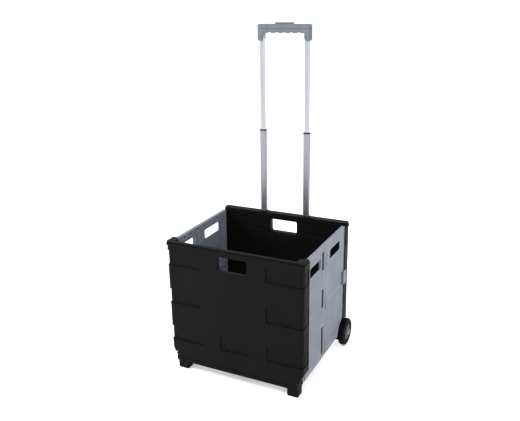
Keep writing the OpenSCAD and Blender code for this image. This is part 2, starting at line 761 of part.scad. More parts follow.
module handle_solid() {
    intersection() {
        translate([0, grip_y + grip_d / 2, 0]) rotate([90, 0, 0]) linear_extrude(grip_d) handle_outline(grip_d, 9.5);
        translate([0, grip_y, grip_z0]) linear_extrude(leg_h + bar_h) rrect(bar_w, grip_d, 8);
    }
}

module handle_room() {
    // Button well, rod passages and the cross channel for the yoke
    translate([0, grip_y, grip_z1 - 8 - button_travel - 2 * gap]) linear_extrude(20)
        rrect(button_w + 2 * gap, button_d + 2 * gap, 5);
    box([-tube_h - 6, grip_y - 4.3, grip_z1 - 22], [tube_h + 6, grip_y + 4.3, grip_z1 - 8]);
    mirror_x() box([tube_h - 3, grip_y - 2, grip_z0 - 1], [tube_h + 3, grip_y + 2, grip_z1 - 12]);
    mirror_x() translate([16, grip_y, grip_z1 - 21 - button_travel - 6]) cylinder(h = 12, r = 3.6);
    mirror_x() translate([tube_h, tube_y, grip_z0 - 1]) linear_extrude(leg_h - 3)
        rrect(top_w + 2 * pin_fit, top_d + 2 * pin_fit, 3);
    // Finger grooves round the bar near its ends
    mirror_x() for (x = [46, 52]) difference() {
        box([x, grip_y - grip_d, split_z - 40], [x + 2, grip_y + grip_d, grip_z1 + 5]);
        box([x - 1, grip_y - grip_d / 2 + 0.8, split_z - 50], [x + 3, grip_y + grip_d / 2 - 0.8, grip_z1 - 0.8]);
    }
}

module handle_body() color(grey) difference() {
    handle_solid();
    box([-bar_w, -400, split_z], [bar_w, 400, grip_z1 + 20]);
    handle_room();
    // Scallops for the fingers
    for (i = [-2:2]) translate([i * 23, grip_y - 30, grip_z0 + leg_h - 6.5]) rotate([-90, 0, 0])
        cylinder(h = 60, r = 10);
    mirror_x() translate([tube_h, grip_y - 30, grip_z0 + 12]) rotate([-90, 0, 0]) cylinder(h = 60, r = 1.6);
}

module handle_cap() color(grey) difference() {
    handle_solid();
    box([-bar_w, -400, grip_z0 - 5], [bar_w, 400, split_z]);
    handle_room();
}

module handle_screws() color(steel) mirror_x()
    translate([tube_h, grip_y + top_d / 2 + pin_fit, grip_z0 + 12]) rotate([-90, 0, 0])
        cylinder(h = grip_d / 2 - top_d / 2 - pin_fit - 0.5, r = 1.6);

module release_button() color(grey) {
    translate([0, grip_y, grip_z1 - 8 - gap]) linear_extrude(8 + 4.5 + gap) rrect(button_w, button_d, 7);
    // Yoke that reaches across to the rods
    box([-tube_h - 4, grip_y - 4, grip_z1 - 8 - 5], [tube_h + 4, grip_y + 4, grip_z1 - 8 - gap]);
}

module release_rod() {
    box([tube_h - 2.5, tube_y - 1.5, top_bottom - 6], [tube_h + 2.5, tube_y + 1.5, grip_z1 - 13]);
}

// Close-wound springs drawn as a stack of touching rings
module button_springs() color(steel) mirror_x() for (i = [0:7])
    translate([16, grip_y, grip_z1 - 13 - 0.6 - i]) rotate_extrude() translate([2.4, 0]) circle(0.6);

// ---- Nodes ----

back_panel();
front_panel();
floor_panel();
color(steel) rod_x(-134, 148, floor_y, floor_z, pin_d / 2);  // floor_hinge_pin
color(grey) side_front();  // side_front_right
color(grey) side_rear();  // side_rear_right
color(grey) mirror([1, 0, 0]) side_front();  // side_front_left
color(grey) mirror([1, 0, 0]) side_rear();  // side_rear_left
color(steel) hinge_pin(hinge_x, hinge_f, front_knuckles);  // front_hinge_pin_right
color(steel) mirror([1, 0, 0]) hinge_pin(hinge_x, hinge_f, front_knuckles);  // front_hinge_pin_left
color(steel) hinge_pin(side_x, hinge_m, mid_knuckles);  // mid_hinge_pin_right
color(steel) mirror([1, 0, 0]) hinge_pin(side_x, hinge_m, mid_knuckles);  // mid_hinge_pin_left
color(steel) hinge_pin(hinge_x, hinge_b, back_knuckles);  // back_hinge_pin_right
color(steel) mirror([1, 0, 0]) hinge_pin(hinge_x, hinge_b, back_knuckles);  // back_hinge_pin_left
color(grey) side_latch();  // side_latch_right
color(grey) mirror([1, 0, 0]) side_latch();  // side_latch_left
color("#151515") foot_pad();  // foot_pad_right
color("#151515") mirror([1, 0, 0]) foot_pad();  // foot_pad_left
color(steel) axle();  // axle_right
color(steel) mirror([1, 0, 0]) axle();  // axle_left
color("#181818") tyre();  // tyre_right
color("#181818") mirror([1, 0, 0]) tyre();  // tyre_left
color(grey) hub();  // hub_right
color(grey) mirror([1, 0, 0]) hub();  // hub_left
color("white") wheel_bush();  // wheel_bush_right
color("white") mirror([1, 0, 0]) wheel_bush();  // wheel_bush_left
color(grey) hub_cap();  // hub_cap_right
color(grey) mirror([1, 0, 0]) hub_cap();  // hub_cap_left
color(steel) axle_clip();  // axle_clip_right
color(steel) mirror([1, 0, 0]) axle_clip();  // axle_clip_left
color(steel) guide_tube();  // guide_tube_right
color(steel) mirror([1, 0, 0]) guide_tube();  // guide_tube_left
color(black) guide_collar();  // guide_collar_right
color(black) mirror([1, 0, 0]) guide_collar();  // guide_collar_left
guide_screws();
color(steel) middle_tube();  // middle_tube_right
color(steel) mirror([1, 0, 0]) middle_tube();  // middle_tube_left
color(black) middle_bush();  // middle_bush_right
color(black) mirror([1, 0, 0]) middle_bush();  // middle_bush_left
color(black) middle_collar();  // middle_collar_right
color(black) mirror([1, 0, 0]) middle_collar();  // middle_collar_left
color(steel) upper_tube();  // upper_tube_right
color(steel) mirror([1, 0, 0]) upper_tube();  // upper_tube_left
color(black) upper_bush();  // upper_bush_right
color(black) mirror([1, 0, 0]) upper_bush();  // upper_bush_left
color(steel) lock_pin();  // lock_pin_right
color(steel) mirror([1, 0, 0]) lock_pin();  // lock_pin_left
handle_body();
handle_cap();
handle_screws();
release_button();
color(steel) release_rod();  // release_rod_right
color(steel) mirror([1, 0, 0]) release_rod();  // release_rod_left
button_springs();
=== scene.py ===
"""Foldable shopping trolley: the looks of the model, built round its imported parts."""

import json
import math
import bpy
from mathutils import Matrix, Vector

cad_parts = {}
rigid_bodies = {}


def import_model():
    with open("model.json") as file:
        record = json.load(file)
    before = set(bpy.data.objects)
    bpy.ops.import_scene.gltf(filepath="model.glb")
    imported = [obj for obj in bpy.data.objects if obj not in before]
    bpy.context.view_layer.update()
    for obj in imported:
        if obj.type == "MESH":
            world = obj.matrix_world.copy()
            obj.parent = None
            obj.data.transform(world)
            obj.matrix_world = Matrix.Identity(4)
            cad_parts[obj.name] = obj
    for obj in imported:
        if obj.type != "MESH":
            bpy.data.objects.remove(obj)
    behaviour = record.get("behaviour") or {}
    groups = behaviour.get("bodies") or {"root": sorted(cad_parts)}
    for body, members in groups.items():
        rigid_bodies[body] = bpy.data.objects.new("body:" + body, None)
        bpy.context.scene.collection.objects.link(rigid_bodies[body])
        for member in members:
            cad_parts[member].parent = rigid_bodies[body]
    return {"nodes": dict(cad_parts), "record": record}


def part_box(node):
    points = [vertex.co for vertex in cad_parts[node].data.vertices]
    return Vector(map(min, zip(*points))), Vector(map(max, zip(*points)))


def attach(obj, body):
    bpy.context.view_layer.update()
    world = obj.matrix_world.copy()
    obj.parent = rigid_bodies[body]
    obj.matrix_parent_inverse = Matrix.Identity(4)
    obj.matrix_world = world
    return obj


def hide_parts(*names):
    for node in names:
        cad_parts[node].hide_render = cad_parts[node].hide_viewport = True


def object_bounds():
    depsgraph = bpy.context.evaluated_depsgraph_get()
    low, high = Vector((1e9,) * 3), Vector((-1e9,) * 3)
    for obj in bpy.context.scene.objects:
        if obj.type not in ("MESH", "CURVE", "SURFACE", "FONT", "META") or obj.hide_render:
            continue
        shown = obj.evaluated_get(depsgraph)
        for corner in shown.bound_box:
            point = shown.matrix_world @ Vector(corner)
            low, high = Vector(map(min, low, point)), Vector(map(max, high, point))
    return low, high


bl_info = {
    "name": "Shopping Trolley",
    "version": (1, 0, 0),
    "blender": (4, 5, 0),
    "location": "View3D > Sidebar > Trolley",
    "description": "Wheels, finishes and a small studio for a folding shopping trolley",
    "category": "Add Mesh",
}

import bmesh
import bpy
from mathutils import Matrix, Vector

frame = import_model()
CAD_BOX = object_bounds()

MM = 0.001
QUARTER_TURN = math.radians(90)
SAME_PLACE = 1e-6  # Corners nearer than this, in metres, are one
SAME_CORNER = 2e-6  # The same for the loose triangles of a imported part
SAME_LEVEL = 1e-5  # Points nearer than this, in metres, lie on one plane or circle
FACING = 0.99  # Share of a face's normal that has to lie along the wheel's axis

# Catch pins below the top of each middle tube, and combs above the foot of each side, in millimetres
CATCH_DROPS = (("right", (9, 21, 40)), ("left", (9, 21)))
COMB_SPANS = ((16, 104), (165, 224), (281, 336))
COMB_NEAR, COMB_FAR = 17, 34  # From the middle hinge's axis
COMB_BACK, COMB_BACK_OUT, COMB_ROOT, COMB_TIP = 6.6, 5.4, 6, 1.2  # Inwards from the hinge's axis
TOOTH_HALF = 0.8

# The large lights: name, place in metres, side in metres and share of the key light's power
LIGHTS = (("Key light", (-2.4, -1.5, 2.4), 1.0, 1.0), ("Front light", (1.6, -2.6, 1.2), 1.4, 0.25))

# Sockets of the Mix node when it mixes colours
MIX_FACTOR, MIX_FIRST, MIX_SECOND, MIX_RESULT = 0, 6, 7, 2

SIDES = ("right", "left")
NODE_SLOT = {row["node"]: row["material_slot"] for row in frame["record"]["subparts"]}


# ---- Sizes and colours that a user would change ----


def hex_rgb(code):
    """An sRGB hex colour as three values from 0 to 1, still in sRGB."""
    return tuple(int(code[i : i + 2], 16) / 255 for i in (1, 3, 5))


def linear(code):
    """An sRGB hex colour as a linear RGBA colour."""
    return tuple(c / 12.92 if c <= 0.04045 else ((c + 0.055) / 1.055) ** 2.4 for c in hex_rgb(code)) + (1.0,)


def length(name, description, default, low, high):
    """A length property in metres, given in millimetres."""
    return bpy.props.FloatProperty(
        name=name,
        description=description,
        default=default * MM,
        min=low * MM,
        max=high * MM,
        unit="LENGTH",
        precision=5,
    )


class TrolleyWheelSizes(bpy.types.PropertyGroup):
    """Sizes of the tyres and hubs."""

    blocks: bpy.props.IntProperty(
        name="Tread blocks",
        description="Blocks round a tyre",
        default=48,
        min=16,
        max=64,
    )
    groove: length("Groove depth", "How deep the tread is cut", 0.7, 0.2, 2)
    shoulder: length("Shoulder", "Radius of the tyre's shoulders", 5, 2, 7)
    bead: length("Bead ring", "Width of the sunk ring in the sidewall", 7, 3, 10)
    dish: length("Hub dish", "How deep the hub is dished", 3.4, 1, 5)
    lip: length("Hub lip", "Width of the hub's outer lip", 2.2, 1, 5)
    ribs: bpy.props.IntProperty(
        name="Hub ribs",
        description="Ribs between boss and lip",
        default=10,
        min=5,
        max=20,
    )


class TrolleyGripSizes(bpy.types.PropertyGroup):
    """Sizes of the handle's moulded shape."""

    voxel: length("Mesh step", "Step of the handle's even mesh", 0.8, 0.5, 2)
    passes: bpy.props.IntProperty(
        name="Softening",
        description="How round the handle's edges are",
        default=9,
        min=1,
        max=40,
    )
    bar: length("Bar height", "Height of the part of the bar that the rings go round", 21, 10, 40)
    leg: length("Leg width", "Width of a handle leg", 20, 10, 40)
    rings: bpy.props.IntProperty(
        name="Rings",
        description="Rings moulded at each end of the bar",
        default=3,
        min=1,
        max=6,
    )
    ring_pitch: length("Ring pitch", "Distance between rings", 4.2, 2, 10)
    ring_w: length("Ring width", "Width of a ring", 1.8, 0.5, 4)
    ring_out: length("Ring height", "How far a ring stands out, both sides together", 0.5, 0.1, 2)


class TrolleyDetailSizes(bpy.types.PropertyGroup):
    """Sizes of the catch pins and hinge combs."""

    pin_r: length("Catch pin radius", "Radius of a catch pin", 2.6, 1, 4)
    pin_out: length("Catch pin height", "How far a catch pin stands out", 0.25, 0.1, 3)
    knuckle: length("Knuckle radius", "Radius of a hinge knuckle", 3, 2, 5)
    tooth_pitch: length("Comb pitch", "Distance between the teeth of a comb", 5, 2, 12)


class TrolleyEdgeSizes(bpy.types.PropertyGroup):
    """Radii of the moulded and drawn edges."""

    crate: length("Crate edges", "Radius of the black panels' edges", 0.8, 0.1, 3)
    sides: length("Side edges", "Radius of the grey side panels' edges", 0.6, 0.1, 3)
    grip: length("Handle edges", "Radius of the handle's edges", 2.4, 0.2, 4)
    button: length("Button edges", "Radius of the button's edges", 1.4, 0.2, 3)
    trim: length("Trim edges", "Radius of the collars' edges", 0.5, 0.1, 2)
    metal: length("Metal edges", "Radius of the metal parts' edges", 0.25, 0.05, 1)


class TrolleyColours(bpy.types.PropertyGroup):
    """Colours, as sRGB hex codes."""

    black: bpy.props.StringProperty(
        name="Black panels",
        description="Colour of the crate's front, back and floor",
        default="#070708",
    )
    grey: bpy.props.StringProperty(
        name="Side panels",
        description="Colour of the folding sides",
        default="#676d77",
    )
    grip: bpy.props.StringProperty(
        name="Handle",
        description="Colour of the handle and its button",
        default="#5c6268",
    )
    tube: bpy.props.StringProperty(
        name="Tubes",
        description="Colour of the anodised tubes",
        default="#a9aab0",
    )
    hub: bpy.props.StringProperty(name="Hubs", description="Colour of the wheel hubs", default="#6b6c70")
    rubber: bpy.props.StringProperty(name="Rubber", description="Colour of the tyres", default="#040404")
    floor: bpy.props.StringProperty(
        name="Studio floor",
        description="Colour of the studio floor",
        default="#fbfbfb",
    )


class TrolleyStudio(bpy.types.PropertyGroup):
    """The camera and the studio light."""

    lens: bpy.props.FloatProperty(
        name="Lens",
        description="Focal length on a 36 mm wide sensor",
        default=43.85,
        min=20,
        max=120,
        unit="CAMERA",
    )
    eye: bpy.props.FloatVectorProperty(
        name="Camera",
        description="Where the camera stands",
        default=(0.7683, -1.5707, 1.0441),
        subtype="TRANSLATION",
        unit="LENGTH",
    )
    yaw: bpy.props.FloatProperty(
        name="Yaw",
        description="How far the camera is turned to the left",
        default=math.radians(26.23),
        subtype="ANGLE",
    )
    pitch: bpy.props.FloatProperty(
        name="Pitch",
        description="How far the camera looks down",
        default=math.radians(18.36),
        subtype="ANGLE",
    )
    roll: bpy.props.FloatProperty(
        name="Roll",
        description="How far the camera leans",
        default=math.radians(-0.93),
        subtype="ANGLE",
    )
    key: bpy.props.FloatProperty(
        name="Key light",
        description="Power of the large light on the left",
        default=95,
        min=0,
        max=400,
        unit="POWER",
    )
    fill: bpy.props.FloatProperty(
        name="Sky light",
        description="Strength of the even light all round",
        default=1.32,
        min=0,
        max=3,
    )
    floor_size: length("Floor size", "Side of the studio floor", 60000, 4000, 90000)


def sizes(group):
    """One of the property groups of the scene."""
    return getattr(bpy.context.scene, "trolley_" + group)


# ---- Modelling helpers ----


def clear_selection():
    """Nothing is selected and no object is active in edit mode."""
    if bpy.context.object and bpy.context.object.mode != "OBJECT":
        bpy.ops.object.mode_set(mode="OBJECT")
    bpy.ops.object.select_all(action="DESELECT")


def edit(obj):
    """Opens a mesh in edit mode, with face selection and nothing selected."""
    clear_selection()
    obj.select_set(True)
    bpy.context.view_layer.objects.active = obj
    bpy.ops.object.mode_set(mode="EDIT")
    bpy.ops.mesh.select_mode(type="FACE")
    bpy.ops.mesh.select_all(action="DESELECT")


def pick_faces(test):
    """Selects the faces whose centre and normal pass a test, in the frame's axes."""
    obj = bpy.context.object
    bpy.ops.mesh.select_mode(type="FACE")
    bpy.ops.mesh.select_all(action="DESELECT")
    mesh = bmesh.from_edit_mesh(obj.data)
    turn = obj.matrix_world.to_3x3()
    for face in mesh.faces:
        face.select_set(test(obj.matrix_world @ face.calc_center_median(), turn @ face.normal))
    bmesh.update_edit_mesh(obj.data)


def pick_edges(test):
    """Selects the edges whose two ends pass a test, in the frame's axes."""
    obj = bpy.context.object
    bpy.ops.mesh.select_mode(type="EDGE")
    bpy.ops.mesh.select_all(action="DESELECT")
    mesh = bmesh.from_edit_mesh(obj.data)
    for one in mesh.edges:
        one.select_set(all(test(obj.matrix_world @ v.co) for v in one.verts))
    bmesh.update_edit_mesh(obj.data)


def settle(obj, angle=30):
    """Applies the object's place, points its faces outwards and smooths all but its sharp edges."""
    clear_selection()
    obj.select_set(True)
    bpy.context.view_layer.objects.active = obj
    bpy.ops.object.transform_apply(location=True, rotation=True, scale=True)
    bpy.ops.object.mode_set(mode="EDIT")
    bpy.ops.mesh.select_all(action="SELECT")
    bpy.ops.mesh.remove_doubles(threshold=SAME_PLACE)
    bpy.ops.mesh.normals_make_consistent(inside=False)
    bpy.ops.object.mode_set(mode="OBJECT")
    bpy.ops.object.shade_smooth_by_angle(angle=math.radians(angle))
    obj.select_set(False)


def wheel_place(node):
    """Middle, radius and half width of a wheel part that turns about the X axis."""
    low, high = (Vector(corner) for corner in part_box(node))
    return (low + high) / 2, (high.z - low.z) / 2, (high.x - low.x) / 2


def pick_edges_on_caps(test, mid, half):
    """Selects the edges that pass a test and lie in one of the wheel's two end planes."""
    obj = bpy.context.object
    bpy.ops.mesh.select_mode(type="EDGE")
    bpy.ops.mesh.select_all(action="DESELECT")
    mesh = bmesh.from_edit_mesh(obj.data)
    for one in mesh.edges:
        ends = [obj.matrix_world @ v.co for v in one.verts]
        on_a_cap = all(abs(abs(p.x - mid) - half) < SAME_LEVEL for p in ends)
        level = abs(ends[0].x - ends[1].x) < SAME_LEVEL
        one.select_set(on_a_cap and level and all(test(p) for p in ends))
    bmesh.update_edit_mesh(obj.data)


def from_axis(middle):
    """Gives the distance of a point from a wheel's axis."""
    return lambda point: math.hypot(point.y - middle.y, point.z - middle.z)


def wheel_blank(name, steps, middle, radius, half):
    """The closed disc that a tyre or a hub is shaped from."""
    clear_selection()
    bpy.ops.mesh.primitive_cylinder_add(
        vertices=steps, radius=radius, depth=2 * half, location=middle, rotation=(0, QUARTER_TURN, 0)
    )
    blank = bpy.context.object
    blank.name = name
    return blank


def rounded_block(name, low, high, radius):
    """A block between two corners with rounded edges."""
    low, high = Vector(low), Vector(high)
    clear_selection()
    bpy.ops.mesh.primitive_cube_add(size=1, location=(low + high) / 2)
    block = bpy.context.object
    block.name = name
    block.scale = high - low
    bpy.ops.object.transform_apply(location=False, rotation=False, scale=True)
    edit(block)
    bpy.ops.mesh.select_all(action="SELECT")
    bpy.ops.mesh.bevel(offset=radius, segments=2)
    bpy.ops.object.mode_set(mode="OBJECT")
    return block


def joined(blocks, name, angle=35):
    """Several objects joined to one, under one name."""
    clear_selection()
    for one in blocks:
        one.select_set(True)
    bpy.context.view_layer.objects.active = blocks[0]
    bpy.ops.object.join()
    blocks[0].name = name
    settle(blocks[0], angle)
    return blocks[0]


# ---- Wheels ----


class TROLLEY_OT_tyres(bpy.types.Operator):
    """Two tyres with rounded shoulders, a tread and a sunk ring in each sidewall"""

    bl_idname = "trolley.tyres"
    bl_label = "Tyres"

    def execute(self, context):
        size = sizes("wheels")
        for side in SIDES:
            node = "tyre_" + side
            middle, radius, half = wheel_place(node)
            hub_radius = wheel_place("hub_" + side)[1]
            steps = 2 * size.blocks
            tyre = wheel_blank("Tyre_" + side, steps, middle, radius, half)

            far = from_axis(middle)

            edit(tyre)
            # Rounded shoulders
            pick_edges_on_caps(lambda p: far(p) > radius - SAME_LEVEL, middle.x, half)
            bpy.ops.mesh.bevel(offset=size.shoulder, segments=5, affect="EDGES")
            # Sidewalls down to the bead, then a hole for the hub
            cap = radius - size.shoulder
            pick_faces(lambda c, n: abs(n.x) > FACING and far(c) < 0.3 * radius)
            bpy.ops.mesh.inset(thickness=2 * MM)
            bpy.ops.mesh.inset(thickness=size.bead)
            bpy.ops.mesh.inset(thickness=max(cap - 2 * MM - size.bead - hub_radius, MM))
            bpy.ops.mesh.delete(type="ONLY_FACE")
            pick_edges(lambda p: far(p) < hub_radius + 0.5 * MM)
            bpy.ops.mesh.bridge_edge_loops()
            # Sunk ring in each sidewall
            ring = cap - 2 * MM - size.bead / 2
            for way in (-1, 1):
                pick_faces(lambda c, n: n.x * way > FACING and abs(far(c) - ring) < size.bead / 3)
                bpy.ops.mesh.inset(thickness=0.5 * MM)
                bpy.ops.transform.translate(value=(-way * 0.8 * MM, 0, 0))
            # Every second strip of the crown is cut to make the tread
            tread = 2 * math.pi / steps

            def cut(c, n):
                turn = math.atan2(c.z - middle.z, c.y - middle.y) % (2 * tread)
                return abs(n.x) < 0.2 and far(c) > radius - 0.8 * MM and turn < tread

            pick_faces(cut)
            bpy.ops.mesh.inset(thickness=0.25 * MM, use_individual=True)
            bpy.ops.transform.shrink_fatten(value=-size.groove)
            bpy.ops.object.mode_set(mode="OBJECT")
            settle(tyre, 28)
            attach(tyre, "wheel_" + side)
            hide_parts(node)
        return {"FINISHED"}


class TROLLEY_OT_hubs(bpy.types.Operator):
    """Two dished hubs with a lip, ribs and a boss"""

    bl_idname = "trolley.hubs"
    bl_label = "Hubs"

    def execute(self, context):
        size = sizes("wheels")
        for side, way in zip(SIDES, (1, -1)):
            node = "hub_" + side
            middle, radius, half = wheel_place(node)
            bore = wheel_place("wheel_bush_" + side)[1]
            boss = bore + 4 * MM
            steps = 6 * size.ribs
            hub = wheel_blank("Hub_" + side, steps, middle, radius, half)

            far = from_axis(middle)

            edit(hub)
            # A lip, a dish and a boss on the outer face, then the same on the inner face
            for face_way, dish in ((way, size.dish), (-way, 2 * MM)):
                pick_faces(lambda c, n: n.x * face_way > FACING and far(c) < 0.3 * radius)
                bpy.ops.mesh.inset(thickness=size.lip)
                bpy.ops.mesh.inset(thickness=0.8 * MM)
                bpy.ops.transform.translate(value=(-face_way * dish, 0, 0))
                bpy.ops.mesh.inset(thickness=radius - size.lip - 0.8 * MM - boss - 0.6 * MM)
                bpy.ops.mesh.inset(thickness=0.6 * MM)
                bpy.ops.transform.translate(value=(face_way * dish, 0, 0))
                bpy.ops.mesh.inset(thickness=boss - bore)
                bpy.ops.mesh.delete(type="ONLY_FACE")
            pick_edges(lambda p: far(p) < bore + 0.3 * MM)
            bpy.ops.mesh.bridge_edge_loops()
            # Ribs stand on the dished ring
            pitch = 2 * math.pi / size.ribs
            ring_in, ring_out = boss + 0.6 * MM, radius - size.lip - 0.8 * MM

            def rib(c, n):
                turn = math.atan2(c.z - middle.z, c.y - middle.y) % pitch
                return n.x * way > FACING and ring_in < far(c) < ring_out and turn < pitch / 3

            pick_faces(rib)
            bpy.ops.mesh.extrude_region_move(TRANSFORM_OT_translate={"value": (way * 0.6 * size.dish, 0, 0)})
            bpy.ops.object.mode_set(mode="OBJECT")
            settle(hub, 30)
            bevel = hub.modifiers.new("Moulded edges", "BEVEL")
            bevel.width, bevel.segments, bevel.limit_method = 0.35 * MM, 2, "ANGLE"
            bevel.angle_limit = math.radians(35)
            bpy.context.view_layer.objects.active = hub
            hub.select_set(True)
            bpy.ops.object.modifier_apply(modifier=bevel.name)
            settle(hub, 30)
            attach(hub, "wheel_" + side)
            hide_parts(node)
        return {"FINISHED"}


# ---- Handle ----


def copy_of_node(node, name):
    """A merged copy of a part's mesh, to be shaped into the piece that stands for it."""
    clear_selection()
    source = frame["nodes"][node]
    bpy.context.view_layer.objects.active = source
    source.select_set(True)
    bpy.ops.object.duplicate(linked=False)
    piece = bpy.context.object
    piece.name = name
    edit(piece)
    bpy.ops.mesh.select_all(action="SELECT")
    bpy.ops.mesh.remove_doubles(threshold=SAME_CORNER)
    bpy.ops.object.mode_set(mode="OBJECT")
    return piece


def apply_all(piece):
    """Applies every modifier of a piece, in order."""
    clear_selection()
    bpy.context.view_layer.objects.active = piece
    piece.select_set(True)
    for one in list(piece.modifiers):
        bpy.ops.object.modifier_apply(modifier=one.name)


class TROLLEY_OT_grip(bpy.types.Operator):
    """The handle and its button with the soft, round edges of a moulded grip, and rings moulded at both ends"""

    bl_idname = "trolley.grip"
    bl_label = "Handle"

    def execute(self, context):
        size = sizes("grip")
        for node, name, body in (
            ("handle_body", "Handle_grip", "upper_stage"),
            ("handle_cap", "Handle_cap", "upper_stage"),
            ("release_button", "Handle_button", "release"),
        ):
            piece = copy_of_node(node, name)
            remesh = piece.modifiers.new("Even mesh", "REMESH")
            remesh.mode, remesh.voxel_size = "VOXEL", size.voxel
            smooth = piece.modifiers.new("Soft edges", "SMOOTH")
            smooth.factor, smooth.iterations = 0.5, size.passes if node != "handle_cap" else 2
            apply_all(piece)
            settle(piece, 60)
            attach(piece, body)
            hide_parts(node)
        low, high = (Vector(corner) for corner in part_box("handle_body"))
        middle = (low + high) / 2
        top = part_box("handle_cap")[1][2]
        for side, way in zip(SIDES, (1, -1)):
            rings = []
            for step in range(size.rings):
                x = way * ((high.x - low.x) / 2 - size.leg - (step + 1) * size.ring_pitch)
                centre = Vector((x, middle.y, top - size.bar / 2))
                half = Vector((size.ring_w, high.y - low.y + size.ring_out, size.bar + size.ring_out)) / 2
                rings.append(rounded_block("Ring", centre - half, centre + half, 0.45 * size.ring_w))
            first = joined(rings, "Grip_rings_" + side, 30)
            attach(first, "upper_stage")
        return {"FINISHED"}


# ---- Small dark pieces: catch pins, and combs whose black is painted shade ----


class TROLLEY_OT_catches(bpy.types.Operator):
    """Dark catch pins on the middle tubes, and dark combs in the slots beside the middle hinges, whose black is
    painted shade in the slots' depth
    """

    bl_idname = "trolley.catches"
    bl_label = "Catches and combs"

    def execute(self, context):
        size = sizes("details")
        for side, drops in CATCH_DROPS:
            low, high = (Vector(corner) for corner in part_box("middle_tube_" + side))
            pins = []
            for drop in drops:
                clear_selection()
                bpy.ops.mesh.primitive_cylinder_add(
                    vertices=24,
                    radius=size.pin_r,
                    depth=2 * size.pin_out,
                    location=(high.x, (low.y + high.y) / 2, high.z - drop * MM),
                    rotation=(0, QUARTER_TURN, 0),
                )
                pin = context.object
                edit(pin)
                pick_faces(lambda c, n: n.x > 0.9)
                bpy.ops.mesh.bevel(offset=0.45 * min(size.pin_r, size.pin_out), segments=4)
                bpy.ops.object.mode_set(mode="OBJECT")
                pins.append(pin)
            catch = joined(pins, "Catch_pins_" + side)
            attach(catch, "middle_stage")
        # Black combs in the slots beside the middle hinges: their teeth give the slot its ribs, and their black
        # colour is painted shade in the slot's depth
        for side, way in zip(SIDES, (1, -1)):
            low, high = (Vector(corner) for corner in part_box("side_front_" + side))
            hinge_y = high.y - size.knuckle
            outer = max(abs(low.x), abs(high.x)) - size.knuckle
            teeth = []
            for start, end in COMB_SPANS:
                z0, z1 = low.z + start * MM, low.z + end * MM
                y0, y1 = hinge_y - COMB_FAR * MM, hinge_y - COMB_NEAR * MM
                xs = sorted((way * (outer - COMB_BACK * MM), way * (outer - COMB_BACK_OUT * MM)))
                teeth.append(rounded_block("Tooth", (xs[0], y0, z0), (xs[1], y1, z1), 0.2 * MM))
                count = int((z1 - z0) / size.tooth_pitch)
                for i in range(count):
                    z = z0 + (i + 0.5) * (z1 - z0) / count
                    xs = sorted((way * (outer - COMB_ROOT * MM), way * (outer - COMB_TIP * MM)))
                    foot = (xs[0], y0, z - TOOTH_HALF * MM)
                    tip = (xs[1], y1 - 1 * MM, z + TOOTH_HALF * MM)
                    teeth.append(rounded_block("Tooth", foot, tip, 0.3 * MM))
            comb = joined(teeth, "Hinge_comb_" + side)
            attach(comb, "front_half_" + side)
        return {"FINISHED"}


# ---- Edges of the moulded and drawn parts ----


class TROLLEY_OT_edges(bpy.types.Operator):
    """Rounds the edges of the crate, sides, handle, collars and metal parts"""

    bl_idname = "trolley.edges"
    bl_label = "Rounded edges"

    def execute(self, context):
        size = sizes("edges")
        radius = {
            "black_shell": size.crate,
            "grey_panel": size.sides,
            "handle_grey": size.grip,
            "black_trim": size.trim,
            "pad": size.trim,
            "hub": size.trim,
            "tube": size.metal,
            "steel": size.metal,
        }
        for name, obj in frame["nodes"].items():
            width = size.button if name == "release_button" else radius.get(NODE_SLOT[name])
            if not width or obj.hide_render:
                continue
            weld = obj.modifiers.new("Merge", "WELD")
            weld.merge_threshold = SAME_CORNER
            flat = obj.modifiers.new("Flat faces", "DECIMATE")
            flat.decimate_type, flat.angle_limit = "DISSOLVE", math.radians(1)
            bevel = obj.modifiers.new("Edges", "BEVEL")
            bevel.width, bevel.segments, bevel.limit_method = width, 2, "ANGLE"
            bevel.angle_limit = math.radians(40)
            # Without the clamp the black shells throw spikes across the tubes; the side panels don't
            bevel.use_clamp_overlap = NODE_SLOT[name] != "grey_panel"
            bevel.loop_slide = False
            # The bevel's faces take the second slot, the lighter edge material, which paints a highlight along
            # each rounded edge
            bevel.material = 1
            level = obj.modifiers.new("Flat shading of large faces", "WEIGHTED_NORMAL")
            level.weight, level.keep_sharp = 100, False
        return {"FINISHED"}


# ---- Finishes ----


def node_in(tree, kind, inputs=None, **settings):
    """Adds a node with its settings, and sets or links its inputs."""
    node = tree.nodes.new(kind)
    for key, value in settings.items():
        setattr(node, key, value)
    for key, value in (inputs or {}).items():
        if isinstance(value, bpy.types.NodeSocket):
            tree.links.new(value, node.inputs[key])
        else:
            node.inputs[key].default_value = value
    return node


def new_finish(name):
    """An empty material with its tree, its surface shader and its Object coordinates."""
    material = bpy.data.materials.new(name)
    material.use_nodes = True
    tree = material.node_tree
    tree.nodes.clear()
    shader = node_in(tree, "ShaderNodeBsdfPrincipled")
    node_in(tree, "ShaderNodeOutputMaterial", {"Surface": shader.outputs["BSDF"]})
    place = node_in(tree, "ShaderNodeTexCoord").outputs["Object"]
    return material, tree, shader, place


def ramp(tree, value, low, high, low_out=0.0, high_out=1.0):
    """A value mapped from one range to another, held at both ends."""
    inputs = {"Value": value, "From Min": low, "From Max": high, "To Min": low_out, "To Max": high_out}
    return node_in(tree, "ShaderNodeMapRange", inputs).outputs["Result"]


def blend(tree, factor, first, second):
    """A colour between two others."""
    node = node_in(tree, "ShaderNodeMix", data_type="RGBA")
    for key, value in ((MIX_FACTOR, factor), (MIX_FIRST, first), (MIX_SECOND, second)):
        if isinstance(value, bpy.types.NodeSocket):
            tree.links.new(value, node.inputs[key])
        else:
            node.inputs[key].default_value = value
    return node.outputs[MIX_RESULT]


